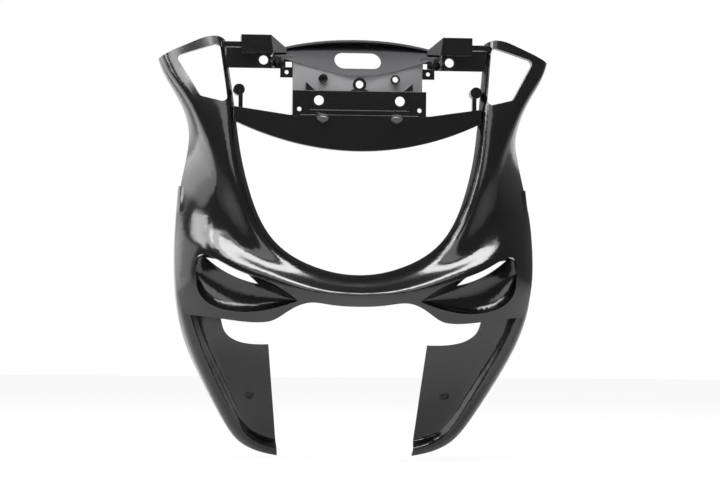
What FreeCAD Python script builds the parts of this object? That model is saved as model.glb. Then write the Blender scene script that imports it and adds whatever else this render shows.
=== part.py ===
# Front cover of a scooter: one moulded shell with a headlight opening, two turn-signal loops,
# two air intakes, two lower wings and a bridge that carries the mounting holes.
# Millimetres. X runs across, the front faces -Y, +Z is up.
# The origin is the middle between the two big bracket holes, on the front of the bracket plate.
import FreeCAD
import Part
import math
import os
from FreeCAD import Vector

SIZES = {
    # shell
    "wall": 2.5,
    "flange_depth": 12.0,
    # turn-signal window
    "window_top_inner_across": 150.0,
    "window_top_inner_height": 65.0,
    "window_top_outer_across": 198.0,
    "window_top_outer_height": 50.5,
    "window_low_outer_across": 171.0,
    "window_low_outer_height": 5.0,
    "window_low_inner_across": 141.5,
    "window_low_inner_height": -2.5,
    "window_corner": 5.0,
    # upper edge of the loop
    "loop_inner_across": 142.0,
    "loop_top_across": 152.0,
    "loop_top_height": 72.5,
    "loop_tip_across": 219.0,
    "loop_tip_height": 45.0,
    # air intake recess
    "recess_outer_across": 174.0,
    "recess_outer_height": -190.0,
    "recess_inner_across": 66.0,
    "recess_inner_height": -217.0,
    "brow_height": -180.5,
    "brow_across": 139.0,
    "lip_height": -229.5,
    "lip_across": 122.0,
    "recess_depth": 24.0,
    "slot_outer_across": 163.5,
    "slot_outer_height": -171.0,
    "slot_inner_across": 108.0,
    "slot_inner_height": -199.0,
    "slot_gap": 6.0,
    # lower edge of the chin and nose
    "chin_height": -240.5,
    "chin_corner_across": 100.0,
    "nose_end_across": 53.0,
    "nose_end_height": -219.0,
    "nose_low_height": -223.0,
    # wing
    "side_bulge": 3.0,
    "cheek_hollow": 4.0,
    # upper edge of the cheek of the wing
    "cheek_corner_across": 144.0,
    "cheek_corner_height": -240.0,
    "cheek_top_height": -265.0,
    # straight inner edge of the cheek
    "cheek_edge_top_across": 89.5,
    "cheek_edge_tip_across": 77.0,
    "wing_tip_height": -388.0,
    "cheek_screw_across": 111.0,
    "cheek_screw_height": -322.0,
    "cheek_screw_bore": 4.0,
    "cheek_screw_depth": 5.0,
    # bracket
    "bracket_half": 72.5,
    "bracket_top": 10.5,
    "bracket_bottom": -17.5,
    "bracket_depth": 14.0,
    "bracket_panel_half": 54.0,
    "bracket_panel_step": 1.2,
    "bracket_lip_height": -10.5,
    "bolt_spacing": 88.0,
    "bolt_bore": 5.3,
    "pin_spacing": 130.5,
    "pin_height": -9.8,
    "pin_bore": 2.4,
    # crossbar
    "crossbar_front": 6.0,
    "crossbar_radius": 440.0,
    "crossbar_depth": 10.0,
    "crossbar_low": -55.0,
    "crossbar_end": -22.0,
    "crossbar_top": -16.0,
    "crossbar_end_top": -6.5,
    "crossbar_half": 135.0,
    # curved wall over the bracket
    "dash_half": 71.0,
    "dash_radius": 117.0,
    "dash_front": -2.0,
    "dash_hole_height": 17.8,
    "dash_hole_bore": 4.2,
    "dash_collar_radius": 7.2,
    "dash_collar_rise": 1.2,
    "boss_spacing": 78.6,
    "boss_height": 24.0,
    "boss_radius": 5.0,
    "boss_bore": 3.2,
    # tilted top plate
    "plate_tilt": 34.0,
    "plate_front_height": 28.5,
    "plate_top_height": 69.0,
    "plate_end_across": 97.0,
    "plate_end_height": 54.0,
    "oval_width": 51.0,
    "oval_height": 20.0,
    "oval_centre_height": 45.7,
    # side panels of the bridge
    "panel_front": 41.0,
    "panel_inner": 78.0,
    "panel_outer": 143.0,
    "panel_low": 37.5,
    "panel_top": 60.0,
    "panel_hole_spacing": 204.5,
    "panel_hole_height": 46.2,
    "panel_hole_bore": 5.0,
    "panel_disc_radius": 8.5,
    "panel_disc_rise": 3.5,
    # top blocks
    "block_outer": 127.0,
    "block_inner": 94.5,
    "block_top": 73.5,
    "block_low": 54.0,
    "block_front": 33.0,
    "block_depth": 26.0,
    "bar_low": 60.5,
    "bar_top": 66.5,
    # hanging tabs
    "tab_inner": 70.0,
    "tab_outer": 84.5,
    "tab_low": 26.5,
    "tab_top": 51.0,
    "tab_front": 27.5,
    "tab_hole_spacing": 155.0,
    "tab_hole_height": 32.3,
    "tab_hole_bore": 2.2,
    "tab_window_low": 37.8,
    "tab_window_top": 43.6,
    "tab_window_width": 11.0,
    # small ears, rail bumps and tongues
    "ear_across": 91.5,
    "ear_height": 47.0,
    "ear_radius": 9.0,
    "ear_bore": 4.0,
    "ear_turn": 65.0,
    "bump_across": 129.5,
    "bump_height": 12.0,
    "bump_radius": 6.2,
    "bump_length": 16.0,
    "tongue_across": 40.0,
    "tongue_radius": 6.5,
    "tongue_lean": 50.0,
}

# Control net of the face, one row per station from the loop down the leg to the nose centre.
# Each point is (across, height, forward).  Columns run from the back edge of the rim land,
# over the rim, ridge, valley and crest, through the bowl and lip, to the outer edge.
RAILS = ["land", "rim", "ridge", "valley", "crest", "bowl", "lip", "edge"]
FACE = {
    "top": [(145, 86, -64), (148.5, 86, -50), (158, 86, -50), (178, 86, -54),
            (210, 86, -66), (219, 86, -73), (222, 86, -82), (223, 86, -92)],
    "corner": [(141, 46, -52), (144.5, 46, -38), (154, 46, -38), (177, 46, -43),
               (210, 46, -54), (217, 46, -60), (219.5, 46, -70), (219.5, 46, -82)],
    "pane": [(136.3, 15, -36), (140, 15, -22), (149, 15, -22), (172, 15, -27),
             (190, 15, -32), (195, 15, -41), (199, 15, -58), (199, 15, -80)],
    "sill": [(133.5, -10, -28), (138, -10, -14), (147, -10, -14), (165, -10, -18),
             (177.5, -10, -22), (181.5, -10, -33), (185.5, -10, -54), (185.5, -10, -78)],
    "waist": [(130.5, -36, -22), (136, -36, -8), (145, -36, -7), (158.5, -36, -13),
              (167, -36, -17), (171.5, -36, -29), (178.5, -36, -54), (180, -36, -78)],
    "thigh": [(126.5, -64, -16), (132.5, -64, -3), (142, -64, -1), (150, -64, -8),
              (156.5, -64, -11), (162, -64, -24), (176.5, -64, -54), (185, -64, -76)],
    "knee": [(119.5, -93, -12), (125.5, -93, 1), (136, -94, 5), (144, -95, -5),
             (151, -96, -11), (161, -96, -25), (180, -96, -51), (192, -96, -72)],
    "shin": [(110.5, -121, -9), (117, -122, 2), (127.5, -125, 7), (140, -127, -12),
             (158, -128, -18), (176, -127, -31), (188, -125, -44), (195.5, -123, -57)],
    "calf": [(98.5, -144, -6), (104.5, -146.5, 4), (114, -151, 8), (133, -155, -5),
             (161, -157, 4), (181, -156, -18), (192, -154, -33), (197, -152, -47)],
    "brow": [(84, -160, -3), (89, -164.5, 7), (97, -170, 11), (118, -172, 10),
             (148, -171, 13), (178, -184, -10), (192, -188, -28), (197, -188, -38)],
    "flank": [(68, -171, -1), (72, -176.5, 9), (78, -182, 13), (98, -185, 20),
              (128, -180, 21), (162, -206, 2), (184, -219, -20), (192, -224, -36)],
    "jaw": [(51.5, -178.7, 2), (54.5, -185, 12), (59.5, -191, 16), (76, -195, 25),
            (103, -193, 26), (129, -217, 8), (152, -234, -10), (170, -250, -26)],
    "chin": [(34, -184.6, 5), (36, -191.5, 15), (40, -197.5, 19), (52, -203, 28),
             (72, -205, 29), (92, -220, 14), (108, -236, 1), (122, -252, -10)],
    "cheekbone": [(17, -188, 7), (18, -195, 17), (20, -201.5, 21), (27, -207, 29),
                  (38, -210, 31), (52, -218, 22), (64, -229, 12), (76, -243, 3)],
    "nose": [(0, -189, 8), (0, -196, 18), (0, -202.5, 22), (0, -208, 29),
             (0, -212, 32), (0, -218, 26), (0, -224, 18), (0, -234, 11)],
}

# Guide points of the side panel and wing, one row per station from the shoulder to past the tip.
# Each point is (across, height, forward).
WING_RAILS = ["rear", "lip", "edge"]
WING = {
    "shoulder": [(189, -92, -84), (187, -92, -63), (140, -100, -88)],
    "flank": [(192.5, -135, -118), (190.3, -136, -44.5), (130, -145, -90)],
    "hip": [(193, -184, -146), (191.5, -184, -30.5), (118, -195, -96)],
    "seat": [(190, -220, -150), (187.5, -221, -30), (105, -235, -105)],
    "thigh": [(184, -253.5, -153), (178.4, -253, -43.5), (75, -266, -128)],
    "knee": [(171.5, -283.5, -154), (165.5, -283, -66), (72, -298, -139)],
    "calf": [(154.5, -316, -155), (148.6, -315.6, -90), (68, -325, -147.5)],
    "shin": [(138.5, -346, -156), (132.8, -345, -113), (64, -345, -150.5)],
    "ankle": [(123, -371, -158), (119, -366.5, -131), (62, -358, -151)],
    "toe": [(106, -382, -160), (103.5, -376.5, -142), (61, -366, -152)],
    "tip": [(87.6, -387.5, -160), (86, -382.8, -147), (60.5, -372, -153)],
    "end": [(61, -391, -160), (60, -386.5, -149), (60, -376, -154)],
}
# Rounding of the front lip of the wing at each station.
LIP_ROUND = {"shoulder": 5, "flank": 6, "hip": 6, "seat": 7, "thigh": 8, "knee": 8.5,
             "calf": 8.5, "shin": 8, "ankle": 7.5, "toe": 6.5, "tip": 5.5,
             "end": 5}

doc = FreeCAD.newDocument("front_cover")
AXES = ["across", "height", "forward"]


def make_sheet(name, rows):
    """A spreadsheet with one named cell for each (alias, value) row."""
    sheet = doc.addObject("Spreadsheet::Sheet", name)
    for number, (alias, value) in enumerate(rows, start=1):
        sheet.set("A%d" % number, alias.replace("_", " "))
        sheet.set("B%d" % number, str(value))
        sheet.setAlias("B%d" % number, alias)
    return sheet


def net_rows(stations, rails):
    """Named cells for every coordinate of a net of stations and rails."""
    rows = []
    for station, points in stations.items():
        for rail, point in zip(rails, points):
            for axis, value in zip(AXES, point):
                rows.append(("%s_%s_%s" % (station, rail, axis), value))
    return rows


dims = make_sheet("dims", list(SIZES.items()))
face_sheet = make_sheet("face_net", net_rows(FACE, RAILS))
wing_sheet = make_sheet("wing_net", net_rows(WING, WING_RAILS))
round_sheet = make_sheet("lip_round", [(name + "_round", value) for name, value in LIP_ROUND.items()])
doc.recompute()


def size(alias):
    return float(dims.get(alias))


def net_point(sheet, station, rail):
    """A net point read from its sheet; forward is -Y."""
    across, height, forward = (float(sheet.get("%s_%s_%s" % (station, rail, axis))) for axis in AXES)
    return Vector(across, -forward, height)


def mirrored(point):
    return Vector(-point.x, point.y, point.z)


def feature(name, shape):
    part = doc.addObject("Part::Feature", name)
    part.Shape = shape
    return part


def clamped(count):
    """Even knots of a cubic curve that starts and ends on its first and last poles."""
    spans = count - 3
    return [float(knot) for knot in range(spans + 1)], [4] + [1] * (spans - 1) + [4]


def pole_surface(net):
    """Smooth cubic surface over a net of control points."""
    row_knots, row_counts = clamped(len(net))
    column_knots, column_counts = clamped(len(net[0]))
    surface = Part.BSplineSurface()
    surface.buildFromPolesMultsKnots(net, row_counts, column_counts, row_knots, column_knots,
                                     False, False, 3, 3)
    return surface


def middle_values(knots, counts):
    """Parameter above each pole of a cubic surface: the mean of three neighbouring knots."""
    full = [knot for knot, count in zip(knots, counts) for _ in range(count)]
    return [sum(full[index + 1:index + 4]) / 3 for index in range(len(full) - 4)]


def border(surface):
    """The four border edges of a surface, always in the same order and direction."""
    first_u, last_u, first_v, last_v = surface.bounds()
    curves = [surface.uIso(first_u), surface.uIso(last_u), surface.vIso(first_v), surface.vIso(last_v)]
    return [curve.toShape() for curve in curves]


def thick_sheet(surface, thickness):
    """Solid wall behind a surface, between it and a copy with its poles moved along the normals."""
    rows = middle_values(surface.getUKnots(), surface.getUMultiplicities())
    columns = middle_values(surface.getVKnots(), surface.getVMultiplicities())
    inner = surface.copy()
    for row, u in enumerate(rows, start=1):
        for column, v in enumerate(columns, start=1):
            moved = surface.getPole(row, column) + surface.normal(u, v) * thickness
            inner.setPole(row, column, moved)
    front = surface.toShape()
    back = inner.toShape()
    sides = [Part.makeRuledSurface(near, far, 1) for near, far in zip(border(surface), border(inner))]
    shell = Part.Shell([front, back] + sides)
    shell.sewShape()
    solid = Part.Solid(shell)
    if solid.Volume < 0:
        solid.reverse()
    return solid


def curve_through(points):
    """Smooth edge through (across, height) points, drawn in the front view."""
    curve = Part.BSplineCurve()
    curve.interpolate([Vector(x, 0, z) for x, z in points])
    return curve.toShape()


def lines_through(points):
    """Straight edges through (across, height) points."""
    corners = [Vector(x, 0, z) for x, z in points]
    return [Part.makeLine(start, end) for start, end in zip(corners, corners[1:])]


def both_sides(points):
    """The points of the right half, mirrored and joined into one run from left to right."""
    left = [(-x, z) for x, z in reversed(points) if x > 0]
    return left + [(x, z) for x, z in points]


def prism(name, edges, front, depth):
    """Front-view outline pushed back from the plane y = front."""
    wire = feature(name + "_outline", Part.Wire(edges))
    wire.Placement.Base = Vector(0, front, 0)
    solid = doc.addObject("Part::Extrusion", name)
    solid.Base = wire
    solid.DirMode = "Custom"
    solid.Dir = Vector(0, 1, 0)
    solid.LengthFwd = depth
    solid.Solid = True
    return solid


def mirror_of(part):
    twin = doc.addObject("Part::Mirroring", part.Name + "_mirror")
    twin.Source = part
    twin.Normal = Vector(1, 0, 0)
    return twin


def fuse(name, parts):
    joined = doc.addObject("Part::MultiFuse", name)
    joined.Shapes = parts
    return joined


def common(name, parts):
    shared = doc.addObject("Part::MultiCommon", name)
    shared.Shapes = parts
    return shared


def cut(name, base, tool):
    rest = doc.addObject("Part::Cut", name)
    rest.Base = base
    rest.Tool = tool
    return rest


def bind(part, **expressions):
    """Bind properties of a part to expressions over the sheet."""
    for prop, expression in expressions.items():
        part.setExpression(prop.replace("__", "."), expression)
    return part


def place(part, x, y, z):
    return bind(part, Placement__Base__x=x, Placement__Base__y=y, Placement__Base__z=z)


def box(name, x_range, y_range, z_range):
    """Box between pairs of expressions along X, Y and Z."""
    solid = doc.addObject("Part::Box", name)
    spans = ["(%s) - (%s)" % (end, start) for start, end in (x_range, y_range, z_range)]
    bind(solid, Length=spans[0], Width=spans[1], Height=spans[2])
    return place(solid, x_range[0], y_range[0], z_range[0])


def rod(name, radius, x, z, y_range):
    """Cylinder along Y between two expressions."""
    solid = doc.addObject("Part::Cylinder", name)
    solid.Placement = FreeCAD.Placement(Vector(0, 0, 0), FreeCAD.Rotation(Vector(1, 0, 0), -90))
    bind(solid, Radius=radius, Height="(%s) - (%s)" % (y_range[1], y_range[0]))
    return place(solid, x, y_range[0], z)


FRONT = -120.0
REACH = 400.0


def face_surface():
    """Outer surface of the right half of the face, from the loop to the middle of the nose."""
    half = [[net_point(face_sheet, station, rail) for rail in RAILS] for station in FACE]
    other = [[mirrored(point) for point in row] for row in reversed(half[:-1])]
    surface = pole_surface(half + other)
    columns = surface.getVKnots()
    surface.segment(0.0, float(len(FACE) - 2), columns[0], columns[-1])
    return surface


def face_piece(surface, start, end, inner, outer, depth):
    """Zone behind part of the right half of the face, used to bound the flanges."""
    piece = surface.copy()
    piece.segment(start, end, inner, outer)
    shape = piece.toShape()
    shape.translate(Vector(0, size("wall") / 2, 0))
    return shape.extrude(Vector(0, depth, 0))


def window_outline(grow):
    """Four-sided window of the turn signal with rounded corners, grown by a margin."""
    names = ["top_inner", "top_outer", "low_outer", "low_inner"]
    corners = [(size("window_%s_across" % name), size("window_%s_height" % name)) for name in names]
    wire = Part.Wire(lines_through(corners + corners[:1]))
    round_wire = rounded(wire, size("window_corner"))
    if grow:
        round_wire = round_wire.makeOffset2D(grow)
    return round_wire.Edges


def rounded(wire, radius):
    """Closed front-view polygon with an arc at each corner."""
    corners = [vertex.Point for vertex in wire.OrderedVertexes]
    edges = []
    starts = []
    ends = []
    for index, corner in enumerate(corners):
        before = (corners[index - 1] - corner).normalize()
        after = (corners[(index + 1) % len(corners)] - corner).normalize()
        half_angle = before.getAngle(after) / 2
        setback = radius / math.tan(half_angle)
        start = corner + before * setback
        end = corner + after * setback
        middle = corner + (before + after).normalize() * (radius / math.sin(half_angle) - radius)
        edges.append(Part.Arc(start, middle, end).toShape())
        starts.append(start)
        ends.append(end)
    for index in range(len(corners)):
        edges.append(Part.makeLine(ends[index], starts[(index + 1) % len(corners)]))
    return Part.Wire(Part.__sortEdges__(edges))


def recess_outline(grow):
    """Lens of the air intake: brow above, lip below, grown by a margin."""
    outer = (size("recess_outer_across") + grow, size("recess_outer_height"))
    inner = (size("recess_inner_across") - grow, size("recess_inner_height"))
    brow_x = size("brow_across")
    brow_z = size("brow_height") + grow
    lip_x = size("lip_across")
    lip_z = size("lip_height") - grow
    brow_outer = (outer[0] - 4, outer[1] + 22 + grow)
    brow_inner = (0.55 * inner[0] + 0.45 * brow_x, 0.5 * inner[1] + 0.5 * brow_z + 2)
    lip_outer = (outer[0] - 8, 0.35 * outer[1] + 0.65 * lip_z)
    lip_inner = (0.6 * inner[0] + 0.4 * lip_x, 0.4 * inner[1] + 0.6 * lip_z)
    upper = curve_through([outer, brow_outer, (brow_x, brow_z), brow_inner, inner])
    lower = curve_through([inner, lip_inner, (lip_x, lip_z), lip_outer, outer])
    return [upper, lower]


def chin_outline(rise):
    """Everything below the chin and nose, with its upper edge raised by a margin."""
    low = size("chin_height") + rise
    corner = size("chin_corner_across")
    end = size("nose_end_across")
    end_z = size("nose_end_height") + rise
    nose_z = size("nose_low_height") + rise
    half = [(0, nose_z), (0.6 * end, 0.5 * nose_z + 0.5 * end_z), (end, end_z),
            (0.55 * end + 0.45 * corner, 0.62 * end_z + 0.38 * low), (corner - 6, low + 1.5),
            (corner + 4, low), (corner + 42, low + 3), (175, low + 7), (240, low + 9)]
    run = both_sides(half)
    return [curve_through(run)] + lines_through([run[-1], (240, -330), (-240, -330), run[0]])


def loop_top_outline():
    """Everything above the loop on the right-hand side."""
    run = [(size("loop_inner_across") - 4, size("loop_top_height") - 16),
           (size("loop_inner_across") + 2, size("loop_top_height") - 3),
           (size("loop_top_across"), size("loop_top_height")),
           (size("loop_top_across") + 28, size("loop_top_height") - 6.5),
           (size("loop_tip_across") - 11, size("loop_tip_height") + 8.5),
           (size("loop_tip_across") + 12, size("loop_tip_height") - 6)]
    return [curve_through(run)] + lines_through([run[-1], (260, 130), (100, 130), run[0]])


def build_face():
    """Right half of the face with flanged openings, trimmed along its outlines."""
    surface = face_surface()
    wall = size("wall")
    depth = size("flange_depth")
    shell = feature("face_shell", thick_sheet(surface, -wall))
    signal_zone = feature("signal_zone", face_piece(surface, 0.0, 3.4, 0.6, 3.4, depth))
    intake_zone = feature("intake_zone", face_piece(surface, 5.0, 12.0, 0.8, 5.0, depth * 1.5))
    window_plug = common("window_plug", [prism("window_plug_prism", window_outline(wall), FRONT, REACH),
                                         signal_zone])
    recess_plug = common("recess_plug", [prism("recess_plug_prism", recess_outline(wall), FRONT, REACH),
                                         intake_zone])
    flanged = fuse("face_flanged", [shell, window_plug, recess_plug])
    window = prism("window_opening", window_outline(0), FRONT, REACH)
    recess = prism("recess_opening", recess_outline(0), FRONT, REACH)
    above = prism("above_loop", loop_top_outline(), FRONT, REACH)
    below = prism("below_chin", chin_outline(0), FRONT, REACH)
    return cut("face", flanged, fuse("face_cutters", [window, recess, above, below]))


def mix(start, end, share):
    return start * (1 - share) + end * share


def lip_outward(station):
    """Direction away from the wing in the front view, square to the run of the lip."""
    names = list(WING)
    index = names.index(station)
    before = net_point(wing_sheet, names[max(index - 1, 0)], "lip")
    after = net_point(wing_sheet, names[min(index + 1, len(names) - 1)], "lip")
    return Vector(before.z - after.z, 0, after.x - before.x).normalize()


def wing_section(station):
    """Control points of one wing section, from the rear edge round the lip to the cheek edge."""
    rear = net_point(wing_sheet, station, "rear")
    lip = net_point(wing_sheet, station, "lip")
    edge = net_point(wing_sheet, station, "edge")
    radius = float(round_sheet.get(station + "_round"))
    back = Vector(0, 1, 0)
    outward = lip_outward(station)
    shoulder = lip + outward * radius + back * radius
    nose = lip - back * (0.35 * radius)
    inside = lip - outward * radius + back * (0.8 * radius)
    cheek = lip - outward * (1.5 * radius) + back * (1.7 * radius)
    bulge = outward * size("side_bulge")
    hollow = back * size("cheek_hollow") * min(1.0, radius / 8)
    return [rear, mix(rear, shoulder, 0.35) + bulge, mix(rear, shoulder, 0.75) + bulge * 0.6, shoulder,
            nose, inside, cheek, mix(cheek, edge, 0.35) + hollow, mix(cheek, edge, 0.7) + hollow, edge]


def cheek_outline():
    """The part of the wing sheet above the cheek, which is taken away."""
    corner_x = size("cheek_corner_across")
    corner_z = size("cheek_corner_height")
    top = size("cheek_top_height")
    run = [(55, top + 0.5), (87, top), (114, top + 0.8), (corner_x - 14, top + 5.5),
           (corner_x - 4, top + 14), (corner_x, corner_z), (corner_x + 5, corner_z + 20),
           (corner_x + 20, corner_z + 42), (corner_x + 34, corner_z + 80), (corner_x + 37, -75)]
    return [curve_through(run)] + lines_through([run[-1], (55, -75), run[0]])


def inboard_outline():
    """Everything on the inner side of the straight cheek edge."""
    top = size("cheek_top_height")
    tip = size("wing_tip_height")
    low = tip - 20
    high = top + 40
    lean = (size("cheek_edge_top_across") - size("cheek_edge_tip_across")) / (top - tip)
    run = [(size("cheek_edge_tip_across") + lean * (z - tip), z) for z in (high, low)]
    return lines_through(run + [(20, low), (20, high), run[0]])


def build_wing():
    """Side panel, rounded lip and inner cheek of the right-hand wing."""
    surface = pole_surface([wing_section(station) for station in WING])
    sheet = feature("wing_sheet_right", thick_sheet(surface, size("wall")))
    above = prism("above_cheek", cheek_outline(), FRONT, REACH)
    inboard = prism("inboard_of_cheek", inboard_outline(), FRONT, REACH)
    trimmed = cut("wing_trimmed", sheet, fuse("wing_cutters", [above, inboard]))
    front = surface_y(surface, size("cheek_screw_across"), size("cheek_screw_height"))
    cup = rod("cheek_cup", "dims.cheek_screw_bore + dims.wall", "dims.cheek_screw_across",
              "dims.cheek_screw_height", ("%.3f + dims.wall / 2" % front,
                                          "%.3f + dims.cheek_screw_depth + dims.wall" % front))
    screw = rod("cheek_screw", "dims.cheek_screw_bore", "dims.cheek_screw_across",
                "dims.cheek_screw_height", ("%.3f - 15" % front, "%.3f + dims.cheek_screw_depth" % front))
    return cut("wing", fuse("wing_cupped", [trimmed, cup]), screw)


def surface_y(surface, x, z):
    """Where a line along Y first meets a surface; past its edge, the depth of its nearest point."""
    line = Part.LineSegment(Vector(x, -200, z), Vector(x, 200, z))
    points = line.intersectCS(surface)[0]
    if points:
        return min(point.Y for point in points)
    return surface.value(*surface.parameter(Vector(x, 0, z))).y


def build_intake():
    """Bowl-shaped floor of the right-hand intake with its through slot."""
    surface = face_surface()
    upper, lower = recess_outline(size("wall") * 0.7)
    depth = size("recess_depth")
    rows = [[] for _ in range(5)]
    for share in (0.04, 0.16, 0.3, 0.45, 0.6, 0.74, 0.88, 0.99):
        top = upper.valueAt(upper.FirstParameter + share * (upper.LastParameter - upper.FirstParameter))
        low = lower.valueAt(lower.LastParameter - share * (lower.LastParameter - lower.FirstParameter))
        top_y = surface_y(surface, top.x, top.z)
        low_y = surface_y(surface, low.x, low.z)
        fullness = math.sin(math.pi * share) ** 0.6
        levels = [(0.0, 0.08), (0.12, 0.45), (0.4, 0.95), (0.75, 1.0), (1.0, 0.6)]
        for row, (rise, sink) in zip(rows, levels):
            x = low.x + rise * (top.x - low.x)
            z = low.z + rise * (top.z - low.z)
            y = low_y + rise * (top_y - low_y) + sink * depth * (0.25 + 0.75 * fullness)
            row.append(Vector(x, y, z))
    floor = feature("intake_floor", thick_sheet(pole_surface(rows), -size("wall")))
    outer = (size("slot_outer_across"), size("slot_outer_height"))
    inner = (size("slot_inner_across"), size("slot_inner_height"))
    middle = (0.5 * (outer[0] + inner[0]), 0.5 * (outer[1] + inner[1]))
    gap = size("slot_gap")
    below = curve_through([outer, (middle[0] - 0.4 * gap, middle[1] - gap), inner])
    above = curve_through([inner, (middle[0] + 0.6 * gap, middle[1] + 1.3 * gap), outer])
    slot = prism("intake_slot", [below, above], FRONT, REACH)
    return cut("intake", floor, slot)


def hoop(name, radius, inner_radius, centre_y, z_range):
    """Upright ring between two radii, used for walls that bow forward."""
    rings = []
    for suffix, value in (("_outer", radius), ("_inner", inner_radius)):
        ring = doc.addObject("Part::Cylinder", name + suffix)
        bind(ring, Radius=value, Height="(%s) - (%s)" % (z_range[1], z_range[0]))
        place(ring, "0", centre_y, z_range[0])
        rings.append(ring)
    return cut(name, rings[0], rings[1])


def crossbar_edges(inset):
    """Crescent of the crossbar in the front view, drawn in by a margin on every side."""
    half = size("crossbar_half") - inset
    low = size("crossbar_low") + inset
    end = size("crossbar_end") + inset
    corner = size("bracket_half") + 4
    top = size("crossbar_top") - inset
    side = size("crossbar_end_top") - inset
    lower = both_sides([(0, low), (0.5 * half, low + 8.2), (0.8 * half, end - 12), (half, end)])
    upper = [lower[-1], (half, side), (corner, top), (-corner, top), (-half, side), lower[0]]
    return [curve_through(lower)] + lines_through(upper)


def build_crossbar():
    """Bowed channel between the two legs, open to the rear."""
    centre = "dims.crossbar_radius - dims.crossbar_front"
    levels = ("dims.crossbar_low - 20", "dims.crossbar_end_top + 30")
    whole_ring = hoop("crossbar_ring", "dims.crossbar_radius",
                      "dims.crossbar_radius - dims.crossbar_depth", centre, levels)
    back_ring = hoop("crossbar_back_ring", "dims.crossbar_radius - dims.wall",
                     "dims.crossbar_radius - dims.crossbar_depth - 5", centre, levels)
    block = common("crossbar_block", [prism("crossbar_prism", crossbar_edges(0), FRONT, 220), whole_ring])
    hollow = common("crossbar_hollow", [prism("crossbar_inset", crossbar_edges(size("wall")), FRONT, 220),
                                        back_ring])
    return cut("crossbar", block, hollow)


def build_bracket():
    """Bracket box, open to the rear, with a sunk front panel."""
    half = "dims.bracket_half"
    outer = box("bracket_box", ("-" + half, half), ("-dims.bracket_panel_step", "dims.bracket_depth"),
                ("dims.bracket_bottom", "dims.bracket_top"))
    inner = box("bracket_hollow", ("dims.wall - " + half, half + " - dims.wall"),
                ("dims.wall", "dims.bracket_depth + 1"),
                ("dims.bracket_bottom + dims.wall", "dims.bracket_top - dims.wall"))
    panel = box("bracket_panel", ("-dims.bracket_panel_half", "dims.bracket_panel_half"),
                ("-dims.bracket_panel_step - 1", "0"), ("dims.bracket_lip_height", "dims.bracket_top + 1"))
    return cut("bracket", outer, fuse("bracket_cuts", [inner, panel]))


def plate_height(y):
    """Height of the tilted top plate above a distance behind the bracket front."""
    return size("plate_front_height") + y * math.tan(math.radians(size("plate_tilt")))


def build_dash():
    """Curved wall between the bracket and the top plate."""
    centre = "dims.dash_radius - dims.dash_front"
    ring = hoop("dash_ring", "dims.dash_radius", "dims.dash_radius - dims.wall", centre, ("0", "80"))
    half = size("dash_half")
    radius = size("dash_radius")
    low = size("bracket_top") - 2
    top = []
    for x in (0, 0.5 * half, half):
        y = radius - math.sqrt(radius * radius - x * x) - size("dash_front")
        top.append((x, plate_height(y) - 1))
    run = both_sides(top)
    edges = [curve_through(run)] + lines_through([run[-1], (half, low), (-half, low), run[0]])
    wall = common("dash_wall", [ring, prism("dash_prism", edges, FRONT, 200)])
    collar = rod("dash_collar", "dims.dash_collar_radius", "0", "dims.dash_hole_height",
                 ("-dims.dash_front - dims.dash_collar_rise", "dims.wall / 2 - dims.dash_front"))
    return fuse("dash", [wall, collar])


def build_plate():
    """Tilted lens-shaped top plate with an edge flange and the oval slot."""
    tilt = math.radians(size("plate_tilt"))
    wall = size("wall")
    half = size("plate_end_across")
    end = size("plate_end_height")
    front = size("plate_front_height")
    top = size("plate_top_height")
    slab = doc.addObject("Part::Box", "plate_slab")
    bind(slab, Length="2 * dims.plate_end_across + 20", Width="110", Height="dims.wall")
    lead = 12
    corner = Vector(-half - 10, -lead + wall * math.sin(tilt), plate_height(-lead) - wall * math.cos(tilt))
    slab.Placement = FreeCAD.Placement(corner, FreeCAD.Rotation(Vector(1, 0, 0), math.degrees(tilt)))
    lower = both_sides([(0, front - 1), (0.41 * half, front + 5), (0.74 * half, front + 15.5), (half, end)])
    upper = both_sides([(0, top), (0.46 * half, top - 2.6), (0.84 * half, top - 9.5), (half, end)])
    lens = prism("plate_lens", [curve_through(lower), curve_through(upper)], FRONT, REACH)
    plate = common("plate_blank", [slab, lens])
    rim = [(x, z + 0.4 * wall) for x, z in upper if abs(x) < half]
    under = [(x, z - wall) for x, z in rim]
    edges = [curve_through(rim), curve_through(under)] + lines_through([rim[0], under[0]])
    edges = edges + lines_through([rim[-1], under[-1]])
    arch = prism("plate_arch", Part.__sortEdges__(edges), 40, 24)
    return fuse("plate", [plate, arch])


def oval_cutter():
    """Upright-ended oval slot of the top plate."""
    half = size("oval_width") / 2
    radius = size("oval_height") / 2
    z = size("oval_centre_height")
    reach = half - radius
    left = Part.Arc(Vector(-reach, 0, z - radius), Vector(-half, 0, z), Vector(-reach, 0, z + radius)).toShape()
    right = Part.Arc(Vector(reach, 0, z + radius), Vector(half, 0, z), Vector(reach, 0, z - radius)).toShape()
    top = lines_through([(-reach, z + radius), (reach, z + radius)])
    low = lines_through([(reach, z - radius), (-reach, z - radius)])
    return prism("oval_slot", [left] + top + [right] + low, -30, 130)


def build_block():
    """Hood-shaped top block of the right-hand side, open to the rear."""
    outer_x = size("block_outer")
    inner_x = size("block_inner")
    top = size("block_top")
    low = size("block_low")
    front = size("block_front")
    depth = size("block_depth")
    points = [(outer_x, low), (outer_x, top), (inner_x, top), (inner_x - 17, low + 5), (inner_x - 17, low)]
    outline = Part.Wire(lines_through(points + points[:1]))
    inset = outline.makeOffset2D(-size("wall"))
    hood = prism("block_prism", outline.Edges, front, depth)
    hollow = prism("block_hollow", inset.Edges, front + size("wall"), depth)
    return cut("block", hood, hollow)


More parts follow.
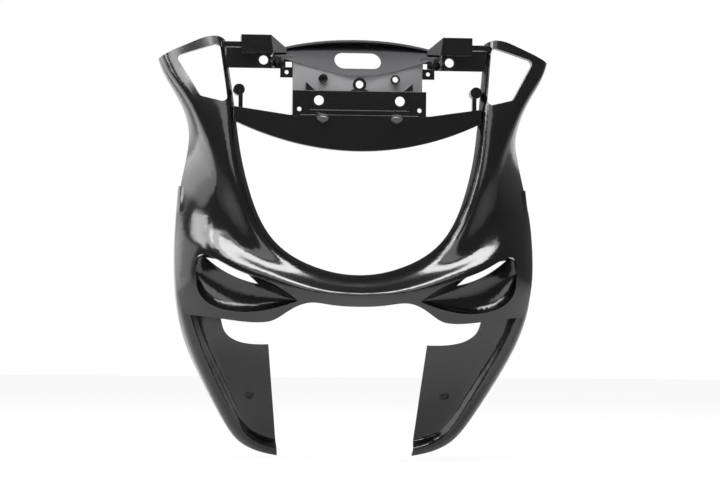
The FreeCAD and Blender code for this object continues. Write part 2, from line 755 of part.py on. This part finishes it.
def right_details():
    """Small plates and bosses of the right-hand side of the bridge."""
    panel = box("panel", ("dims.panel_inner", "dims.panel_outer"),
                ("dims.panel_front", "dims.panel_front + dims.wall"), ("dims.panel_low", "dims.panel_top"))
    disc = rod("panel_disc", "dims.panel_disc_radius", "dims.panel_hole_spacing / 2",
               "dims.panel_hole_height",
               ("dims.panel_front - dims.panel_disc_rise", "dims.panel_front + 1"))
    bar = box("top_bar", ("dims.block_outer - 3", "dims.loop_inner_across + 6"),
              ("dims.block_front + 9", "dims.block_front + 22"), ("dims.bar_low", "dims.bar_top"))
    tab = box("tab", ("dims.tab_inner", "dims.tab_outer"),
              ("dims.tab_front", "dims.tab_front + dims.wall"), ("dims.tab_low", "dims.tab_top"))
    bump = rod("bump", "dims.bump_radius", "dims.bump_across", "dims.bump_height",
               ("18", "18 + dims.bump_length"))
    clip = box("clip", ("dims.bump_across - 4", "dims.bump_across + 0.5"), ("18.5", "26"),
               ("dims.crossbar_end_top - 4", "dims.bump_height"))
    tongue = doc.addObject("Part::Cylinder", "tongue")
    bind(tongue, Radius="dims.tongue_radius", Height="dims.wall")
    tongue.Placement.Rotation = FreeCAD.Rotation(Vector(1, 0, 0), size("tongue_lean"))
    place(tongue, "dims.tongue_across", "-dims.crossbar_front / 2", "dims.bracket_bottom - 3")
    boss = rod("dash_boss", "dims.boss_radius", "dims.boss_spacing / 2", "dims.boss_height", ("4.5", "12"))
    ear = doc.addObject("Part::Cylinder", "ear")
    bind(ear, Radius="dims.ear_radius", Height="dims.wall")
    ear.Placement.Rotation = FreeCAD.Rotation(Vector(0, 0, 1), -size("ear_turn")).multiply(
        FreeCAD.Rotation(Vector(1, 0, 0), 90))
    place(ear, "dims.ear_across", "dims.panel_front - 2", "dims.ear_height")
    half = size("bracket_panel_half")
    top = size("bracket_top") - 1
    gusset = prism("gusset", lines_through([(half - 8, top), (half + 4, top), (half + 4, top + 10),
                                            (half - 8, top)]), 0.5, 20)
    return [panel, disc, bar, tab, bump, clip, tongue, boss, ear, gusset]


def hole_pair(name, radius, spacing, z, y_range):
    """Two holes along Y, one on each side of the middle."""
    return [rod(name + "_right", radius, spacing + " / 2", z, y_range),
            rod(name + "_left", radius, "-" + spacing + " / 2", z, y_range)]


def bridge_holes():
    """All the round holes and windows of the bridge."""
    holes = hole_pair("bolt_hole", "dims.bolt_bore", "dims.bolt_spacing", "0", ("-5", "10"))
    holes += hole_pair("pin_hole", "dims.pin_bore", "dims.pin_spacing", "dims.pin_height", ("-5", "10"))
    holes += hole_pair("panel_hole", "dims.panel_hole_bore", "dims.panel_hole_spacing",
                       "dims.panel_hole_height", ("30", "50"))
    holes += hole_pair("tab_hole", "dims.tab_hole_bore", "dims.tab_hole_spacing",
                       "dims.tab_hole_height", ("20", "36"))
    holes.append(rod("dash_hole", "dims.dash_hole_bore", "0", "dims.dash_hole_height", ("-4", "8")))
    holes.append(rod("boss_hole_right", "dims.boss_bore", "dims.boss_spacing / 2", "dims.boss_height",
                     ("0", "16")))
    holes.append(rod("boss_hole_left", "dims.boss_bore", "-dims.boss_spacing / 2", "dims.boss_height",
                     ("0", "9")))
    window = box("tab_window", ("(dims.tab_inner + dims.tab_outer - dims.tab_window_width) / 2",
                                "(dims.tab_inner + dims.tab_outer + dims.tab_window_width) / 2"),
                 ("20", "36"), ("dims.tab_window_low", "dims.tab_window_top"))
    ear_hole = doc.addObject("Part::Cylinder", "ear_hole")
    bind(ear_hole, Radius="dims.ear_bore", Height="dims.wall + 8")
    ear_hole.Placement.Rotation = FreeCAD.Rotation(Vector(0, 0, 1), -size("ear_turn")).multiply(
        FreeCAD.Rotation(Vector(1, 0, 0), 90))
    turn = math.radians(size("ear_turn"))
    place(ear_hole, "dims.ear_across + %.3f" % (4 * math.sin(turn)),
          "dims.panel_front - 2 + %.3f" % (4 * math.cos(turn)), "dims.ear_height")
    return holes + [window, mirror_of(window), ear_hole, mirror_of(ear_hole), oval_cutter()]


right = fuse("right_half", [build_face(), build_wing(), build_intake(), build_block()] + right_details())
middle = [build_crossbar(), build_bracket(), build_dash(), build_plate()]
blank = fuse("cover_blank", [right, mirror_of(right)] + middle)
cover = cut("front_cover", blank, fuse("bridge_holes", bridge_holes()))
cover.Label = "front_cover"
doc.recompute()

for part in doc.Objects:
    if "Invalid" in part.State or "Error" in part.State:
        raise RuntimeError("%s did not rebuild: %s" % (part.Label, part.State))
    if hasattr(part, "Shape") and (part.Shape.isNull() or not part.Shape.isValid()):
        raise RuntimeError("%s has no valid shape" % part.Label)

print(cover.Label, "solids", len(cover.Shape.Solids), "faces", len(cover.Shape.Faces))
os.makedirs("parts", exist_ok=True)
cover.Shape.exportStep("parts/%s.step" % cover.Label)
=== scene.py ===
# Looks of a scooter front cover: gloss black moulded plastic with a satin bridge,
# seen from the front in a white photo studio.  Metres, in the frame of the CAD model.
import math
import bmesh
import bpy
from mathutils import Matrix, Vector


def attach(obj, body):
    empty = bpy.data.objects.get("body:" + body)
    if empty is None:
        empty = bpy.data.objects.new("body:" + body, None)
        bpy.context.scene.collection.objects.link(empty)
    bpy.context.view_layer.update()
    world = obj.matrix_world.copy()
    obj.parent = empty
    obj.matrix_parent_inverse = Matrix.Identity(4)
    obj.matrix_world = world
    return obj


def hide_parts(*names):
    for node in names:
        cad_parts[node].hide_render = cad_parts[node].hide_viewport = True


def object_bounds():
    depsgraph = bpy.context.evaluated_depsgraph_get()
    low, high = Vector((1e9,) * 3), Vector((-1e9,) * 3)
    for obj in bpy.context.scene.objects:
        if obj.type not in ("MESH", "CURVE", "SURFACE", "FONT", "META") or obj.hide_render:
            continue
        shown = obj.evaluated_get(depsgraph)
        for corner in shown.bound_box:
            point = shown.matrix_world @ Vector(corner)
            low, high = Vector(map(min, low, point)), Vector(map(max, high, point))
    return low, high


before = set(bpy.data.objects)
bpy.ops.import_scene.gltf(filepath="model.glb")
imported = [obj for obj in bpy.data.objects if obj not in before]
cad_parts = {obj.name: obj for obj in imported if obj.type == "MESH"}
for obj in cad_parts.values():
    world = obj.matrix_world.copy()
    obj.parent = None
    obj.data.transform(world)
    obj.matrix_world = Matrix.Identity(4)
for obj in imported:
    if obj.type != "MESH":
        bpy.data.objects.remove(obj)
cad_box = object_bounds()

MM = 0.001

# Camera of the photograph: picture in pixels, angles in degrees, lens and sensor in millimetres
PICTURE_WIDTH = 720
PICTURE_HEIGHT = 480
CAMERA_TARGET = Vector((0.0, 40 * MM, -157 * MM))
TARGET_PIXEL = (355.0, 246.8)
CAMERA_AZIMUTH = -5.0
CAMERA_ELEVATION = -1.5
CAMERA_ROLL = 0.5
CAMERA_DISTANCE = 3.0
CAMERA_REACH = 50.0
CAMERA_LENS = 137.0
SENSOR_WIDTH = 36.0

# Colours as sRGB
GLOSS_BLACK = "0C0C0D"
PLATE_GREY = "343436"
# The wall's grey is the plate's satin plastic made lighter, a painted reflection on the curved wall
WALL_GREY_AND_PAINTED_REFLECTION = "747476"
PAPER_WHITE = "F4F4F4"
PURE_WHITE = "FFFFFF"

# Moulded plastic
PLASTIC_IOR = 1.53
GRAIN_DETAIL = 2.0
EDGE_ROUND = 0.7 * MM
EDGE_SAMPLES = 6

# Mesh of the cover
MERGE_DISTANCE = 0.01 * MM
SHARP_ANGLE = math.radians(42)

# Finishes in the order of the cover's materials
GLOSS, PLATE, WALL_WITH_PAINTED_REFLECTION, TONGUE = range(4)

# Reach of the bridge's finishes: half widths, heights, and how far a normal rises or strays
PLATE_HALF = 93.0 * MM
PLATE_RISE = 0.5
WALL_LOW = 11.5 * MM
WALL_TOP = 45.0 * MM
WALL_RADIUS = 112.0 * MM
WALL_MATCH = 0.15
COLLAR_HEIGHT = 17.8 * MM
COLLAR_RADIUS = 7.3 * MM
TONGUE_HALF = 62.0 * MM
TONGUE_LOW = -30.0 * MM

# Studio: shares of plain white for the camera and in reflections, then the sheets and the room
FLOOR_GLOW = 0.92
FLOOR_MIRROR = 0.4
BACKDROP_GLOW = 1.0
PAPER_ROUGHNESS = 0.9
FLOOR_SIZE = 6.0
FLOOR_GAP = 2 * MM
BACKDROP_SIZE = 6.6
BACKDROP_PLACE = (-3.5, 4.4, 4.0)
UPRIGHT = math.radians(90)
ROOM_LIGHT = 0.18

# Lights: azimuth and elevation in degrees, distance, width and height in metres, brightness.
# Azimuth 0 is behind the cover and 90 on the right of the picture.
LIGHTS = {
    "key_top": (165, 66, 1.4, 1.0, 0.45, 17),
    "left_front": (-137, 53, 1.5, 0.7, 0.42, 11),
    "left_middle": (-114, 43, 1.5, 0.6, 0.4, 8),
    "left_high": (-94, 30, 1.6, 0.6, 0.4, 9),
    "left_low": (-65, 5, 1.7, 1.5, 0.9, 1.8),
    "front_fill": (180, 36, 1.9, 1.4, 0.9, 2.5),
    "back_fill": (10, 38, 2.0, 1.8, 1.0, 3),
}


def linear(code):
    """Linear RGBA of an sRGB colour code."""
    values = [int(code[start:start + 2], 16) / 255 for start in (0, 2, 4)]
    curve = [v / 12.92 if v <= 0.04045 else ((v + 0.055) / 1.055) ** 2.4 for v in values]
    return (*curve, 1.0)


def add_node(tree, kind, inputs, **settings):
    """A node with its settings; each input is a value or the output that it is linked to."""
    node = tree.nodes.new(kind)
    for name, value in settings.items():
        setattr(node, name, value)
    for name, value in inputs.items():
        if isinstance(value, bpy.types.NodeSocket):
            tree.links.new(value, node.inputs[name])
        else:
            node.inputs[name].default_value = value
    return node


def empty_material(name):
    """A material with an empty node tree."""
    material = bpy.data.materials.new(name)
    material.use_nodes = True
    material.node_tree.nodes.clear()
    return material


def plastic(name, code, roughness, grain_mm, grain_depth_mm):
    """Moulded plastic with a fine surface grain and slightly rounded edges."""
    material = empty_material(name)
    tree = material.node_tree
    place = add_node(tree, "ShaderNodeTexCoord", {})
    grain = add_node(tree, "ShaderNodeTexNoise", {
        "Vector": place.outputs["Object"], "Scale": 1 / (grain_mm * MM), "Detail": GRAIN_DETAIL})
    edge = add_node(tree, "ShaderNodeBevel", {"Radius": EDGE_ROUND}, samples=EDGE_SAMPLES)
    bump = add_node(tree, "ShaderNodeBump", {
        "Strength": 1.0, "Distance": grain_depth_mm * MM,
        "Height": grain.outputs["Fac"], "Normal": edge.outputs["Normal"]})
    shader = add_node(tree, "ShaderNodeBsdfPrincipled", {
        "Base Color": linear(code), "Roughness": roughness, "IOR": PLASTIC_IOR,
        "Normal": bump.outputs["Normal"]})
    add_node(tree, "ShaderNodeOutputMaterial", {"Surface": shader.outputs["BSDF"]})
    return material


def finish_of(face):
    """Finish of a face, from its place on the bridge and its normal."""
    centre = face.calc_center_median()
    normal = face.normal
    side = abs(centre.x)
    if side > PLATE_HALF or centre.z < TONGUE_LOW:
        return GLOSS
    if centre.z < WALL_LOW:
        return TONGUE if side < TONGUE_HALF and normal.z > PLATE_RISE else GLOSS
    if math.hypot(centre.x, centre.z - COLLAR_HEIGHT) < COLLAR_RADIUS:
        return GLOSS
    if centre.z > WALL_TOP or normal.z > PLATE_RISE:
        return PLATE
    # Faces of the curved wall take the lighter grey that paints their reflection
    on_wall = normal.y < 0 and abs(normal.x - centre.x / WALL_RADIUS) < WALL_MATCH
    return WALL_WITH_PAINTED_REFLECTION if on_wall else GLOSS


def cover_skin(finishes):
    """The CAD cover as one merged mesh with soft shading and its finishes."""
    model = bmesh.new()
    model.from_mesh(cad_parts["front_cover"].data)
    bmesh.ops.remove_doubles(model, verts=model.verts[:], dist=MERGE_DISTANCE)
    for face in model.faces:
        face.smooth = True
        face.material_index = finish_of(face)
    for edge in model.edges:
        edge.smooth = edge.calc_face_angle(math.pi) < SHARP_ANGLE
    mesh = bpy.data.meshes.new("cover_skin")
    for finish in finishes:
        mesh.materials.append(finish)
    model.to_mesh(mesh)
    model.free()
    if "custom_normal" in mesh.attributes:
        mesh.attributes.remove(mesh.attributes["custom_normal"])
    skin = bpy.data.objects.new("cover_skin", mesh)
    bpy.context.scene.collection.objects.link(skin)
    shading = skin.modifiers.new("even_shading", "WEIGHTED_NORMAL")
    shading.keep_sharp = True
    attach(skin, "root")
    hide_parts("front_cover")


def white_paper(name, glow, mirror_glow):
    """Studio paper, partly plain white and partly lit and shaded by the lights."""
    material = empty_material(name)
    tree = material.node_tree
    paper = add_node(tree, "ShaderNodeBsdfPrincipled", {
        "Base Color": linear(PAPER_WHITE), "Roughness": PAPER_ROUGHNESS})
    white = add_node(tree, "ShaderNodeEmission", {"Color": linear(PURE_WHITE), "Strength": 1.0})
    ray = add_node(tree, "ShaderNodeLightPath", {})
    direct = add_node(tree, "ShaderNodeMath", {0: ray.outputs["Is Camera Ray"], 1: glow},
                      operation="MULTIPLY")
    mirrored = add_node(tree, "ShaderNodeMath", {0: ray.outputs["Is Glossy Ray"], 1: mirror_glow},
                        operation="MULTIPLY")
    share = add_node(tree, "ShaderNodeMath", {0: direct.outputs["Value"], 1: mirrored.outputs["Value"]},
                     operation="MAXIMUM")
    blend = add_node(tree, "ShaderNodeMixShader", {
        "Fac": share.outputs["Value"], 1: paper.outputs["BSDF"], 2: white.outputs["Emission"]})
    add_node(tree, "ShaderNodeOutputMaterial", {"Surface": blend.outputs["Shader"]})
    return material


def studio_sheet(name, size, turn, shift, material):
    """Flat sheet of the studio, turned about X and moved into place."""
    model = bmesh.new()
    bmesh.ops.create_grid(model, x_segments=1, y_segments=1, size=size)
    bmesh.ops.rotate(model, verts=model.verts[:], cent=(0, 0, 0), matrix=Matrix.Rotation(turn, 3, "X"))
    bmesh.ops.translate(model, verts=model.verts[:], vec=shift)
    mesh = bpy.data.meshes.new(name)
    model.to_mesh(mesh)
    model.free()
    mesh.materials.append(material)
    sheet = bpy.data.objects.new(name, mesh)
    bpy.context.scene.collection.objects.link(sheet)


def studio_paper():
    """Pale floor just under the cover and a backdrop behind it."""
    floor_paper = white_paper("floor_paper", FLOOR_GLOW, FLOOR_MIRROR)
    back_paper = white_paper("back_paper", BACKDROP_GLOW, BACKDROP_GLOW)
    studio_sheet("studio_floor", FLOOR_SIZE, 0.0, (0, 0, cad_box[0].z - FLOOR_GAP), floor_paper)
    studio_sheet("studio_backdrop", BACKDROP_SIZE, UPRIGHT, BACKDROP_PLACE, back_paper)


def studio_world():
    """White behind the cover for the camera, a dim grey room for everything else."""
    world = bpy.data.worlds.new("studio")
    bpy.context.scene.world = world
    world.use_nodes = True
    tree = world.node_tree
    tree.nodes.clear()
    room = add_node(tree, "ShaderNodeBackground", {"Color": linear(PURE_WHITE), "Strength": ROOM_LIGHT})
    white = add_node(tree, "ShaderNodeBackground", {"Color": linear(PURE_WHITE), "Strength": 1.0})
    ray = add_node(tree, "ShaderNodeLightPath", {})
    blend = add_node(tree, "ShaderNodeMixShader", {
        "Fac": ray.outputs["Is Camera Ray"], 1: room.outputs["Background"], 2: white.outputs["Background"]})
    add_node(tree, "ShaderNodeOutputWorld", {"Surface": blend.outputs["Shader"]})


def softbox(name, azimuth, elevation, distance, width, height, brightness):
    """Rectangular studio light that points at the cover."""
    turn = math.radians(azimuth)
    rise = math.radians(elevation)
    away = Vector((math.sin(turn) * math.cos(rise), math.cos(turn) * math.cos(rise), math.sin(rise)))
    lamp = bpy.data.lights.new(name, "AREA")
    lamp.shape = "RECTANGLE"
    lamp.size = width
    lamp.size_y = height
    lamp.energy = brightness * math.pi * width * height
    light = bpy.data.objects.new(name, lamp)
    light.location = CAMERA_TARGET + away * distance
    light.rotation_mode = "QUATERNION"
    light.rotation_quaternion = (-away).to_track_quat("-Z", "Y")
    light.visible_camera = False
    bpy.context.scene.collection.objects.link(light)


def photo_camera():
    """Camera at the photograph's angle, with the framing set by its shift."""
    azimuth = math.radians(CAMERA_AZIMUTH)
    elevation = math.radians(CAMERA_ELEVATION)
    back = Vector((math.sin(azimuth) * math.cos(elevation),
                   -math.cos(azimuth) * math.cos(elevation), math.sin(elevation)))
    lens = bpy.data.cameras.new("photo_camera")
    lens.lens = CAMERA_LENS
    lens.sensor_width = SENSOR_WIDTH
    lens.shift_x = (PICTURE_WIDTH / 2 - TARGET_PIXEL[0]) / PICTURE_WIDTH
    lens.shift_y = (TARGET_PIXEL[1] - PICTURE_HEIGHT / 2) / PICTURE_WIDTH
    lens.clip_end = CAMERA_REACH
    camera = bpy.data.objects.new("photo_camera", lens)
    turn = (-back).to_track_quat("-Z", "Y").to_matrix()
    roll = Matrix.Rotation(math.radians(CAMERA_ROLL), 3, "Z")
    stand = Matrix.Translation(CAMERA_TARGET + back * CAMERA_DISTANCE)
    camera.matrix_world = stand @ (turn @ roll).to_4x4()
    bpy.context.scene.collection.objects.link(camera)
    bpy.context.scene.camera = camera


# Gloss-moulded ABS of the shell: deep black, with clear reflections that waver a little
gloss_abs = plastic("gloss_black_abs", GLOSS_BLACK, roughness=0.15, grain_mm=6.0, grain_depth_mm=0.004)
# Satin-moulded ABS of the bridge's plate and curved wall: greyer, with soft and wide reflections. The wall
# is the same plastic as the plate, but its grey is made lighter as a painted reflection of the studio.
# Its grain is drawn at 0.8 mm, coarser than a moulded grain, which the render could not show.
plate_abs = plastic("satin_plate_abs", PLATE_GREY, roughness=0.4, grain_mm=0.8, grain_depth_mm=0.02)
wall_abs_painted_reflection = plastic("satin_wall_abs_painted_reflection", WALL_GREY_AND_PAINTED_REFLECTION, roughness=0.3, grain_mm=0.8, grain_depth_mm=0.01)
# Matt-moulded ABS of the tongues under the bracket: dark, with only a dull sheen
tongue_abs = plastic("matt_tongue_abs", GLOSS_BLACK, roughness=0.75, grain_mm=0.8, grain_depth_mm=0.02)

cover_skin([gloss_abs, plate_abs, wall_abs_painted_reflection, tongue_abs])
studio_paper()
studio_world()
for light_name, light_row in LIGHTS.items():
    softbox(light_name, *light_row)
photo_camera()
bpy.context.scene.view_settings.view_transform = "Standard"
